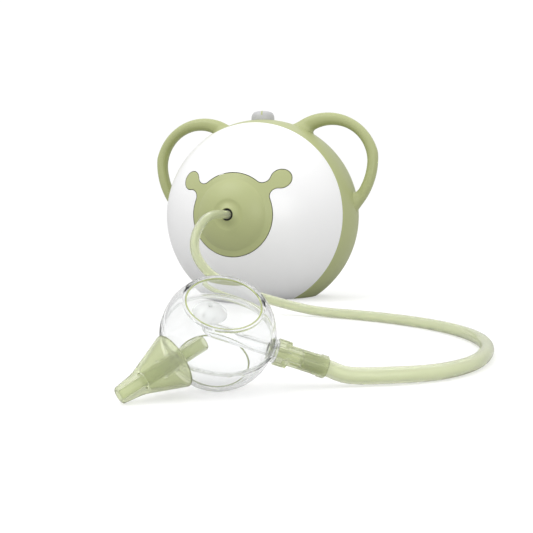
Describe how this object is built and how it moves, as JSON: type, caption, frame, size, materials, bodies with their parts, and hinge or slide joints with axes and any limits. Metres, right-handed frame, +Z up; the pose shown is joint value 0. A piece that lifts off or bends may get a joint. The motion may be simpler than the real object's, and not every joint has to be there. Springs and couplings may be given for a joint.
{
  "type": "nasal aspirator",
  "caption": "Ball-shaped suction unit with ear handles, crown knob, silicone hose and clear collector globe with a soft nose cone.",
  "frame": {"origin": "on the standing face, in the symmetry plane, on the plane where the front and back shells meet", "axes": "+X to the right seen from the front, the face looks along -Y, +Z up"},
  "size_m": [0.3351, 0.4858, 0.1795],
  "materials": {
    "white_shell": "satin moulded ABS",
    "green_shell": "satin moulded ABS, sage green",
    "grey_rubber": "matt non-slip rubber",
    "steel": "plated steel",
    "black_plastic": "moulded black plastic",
    "white_plastic": "moulded natural plastic",
    "black_rubber": "moulded rubber",
    "green_silicone": "translucent pale green silicone",
    "knob_grey": "light grey soft-touch plastic",
    "board": "glass-fibre board",
    "ferrite": "sintered ferrite",
    "copper": "copper winding on a laminated core",
    "cast_alloy": "die-cast alloy",
    "foam": "open-cell foam",
    "yellow_wrap": "tape-wrapped winding",
    "capacitor_blue": "shrink-sleeved can",
    "brass": "plated brass pin",
    "lead_brown": "PVC-covered wire",
    "lead_red": "PVC-covered wire",
    "lead_white": "PVC-covered wire",
    "clear_plastic": "clear moulded plastic",
    "clear_silicone": "clear silicone"
  },
  "bodies": {
    "housing": {"front_shell": "white_shell", "back_shell": "green_shell", "ear_handle_right": "green_shell", "ear_handle_left": "green_shell", "face_plate": "green_shell", "base_pad": "grey_rubber", "shell_screws": "steel", "port_ring": "black_plastic", "port_spigot": "white_plastic", "port_seal": "black_rubber", "hose": "green_silicone", "inner_suction_tube": "green_silicone", "speed_control": "board", "control_nut": "steel", "chassis_tray": "black_plastic", "chassis_mounts": "black_rubber", "motor_can": "steel", "motor_endcap": "black_plastic", "motor_bearings": "steel", "motor_magnets": "ferrite", "pump_housing": "cast_alloy", "valve_plate": "white_plastic", "reed_valves": "black_rubber", "pump_head": "cast_alloy", "pump_screws": "steel", "exhaust_tube": "green_silicone", "exhaust_muffler": "black_plastic", "vent_filter": "foam", "circuit_board": "board", "transformer": "yellow_wrap", "capacitors": "capacitor_blue", "heat_sink": "cast_alloy", "mains_inlet": "black_plastic", "inlet_pins": "brass", "mains_leads": "lead_brown", "motor_leads": "lead_red", "control_leads": "lead_white", "collector_bowl": "clear_plastic", "outlet_tube": "clear_plastic", "baffle_cup": "clear_plastic", "nose_cone": "green_silicone", "hose_connector": "green_shell", "connector_seal": "clear_silicone"},
    "knob": {"suction_knob": "knob_grey", "knob_mark": "green_shell", "control_shaft": "steel"},
    "rotor": {"motor_armature": "copper", "motor_shaft": "steel", "cooling_fan": "black_plastic", "crank_eccentric": "steel", "crank_bearing": "steel"},
    "rod": {"connecting_rod": "white_plastic", "diaphragm": "black_rubber", "diaphragm_clamp": "steel"},
    "cap": {"collector_cap": "clear_plastic", "cap_seal": "clear_silicone"}
  },
  "joints": [
    {"name": "knob_turn", "type": "hinge", "parent": "housing", "child": "knob", "pos_m": [0, 0.034, 0.1702], "axis": [0, 0, 1], "range_deg": [-135, 135]},
    {"name": "motor_spin", "type": "hinge", "parent": "housing", "child": "rotor", "pos_m": [0, 0.034, 0.058], "axis": [1, 0, 0], "continuous": true},
    {"name": "pump_stroke", "type": "slide", "parent": "housing", "child": "rod", "axis": [0, 0, 1], "range_m": [-0.0015, 0.0015]},
    {"name": "cap_lift", "type": "slide", "parent": "housing", "child": "cap", "axis": [0.3372, -0.4821, 0.8087], "range_m": [0, 0.04]}
  ]
}
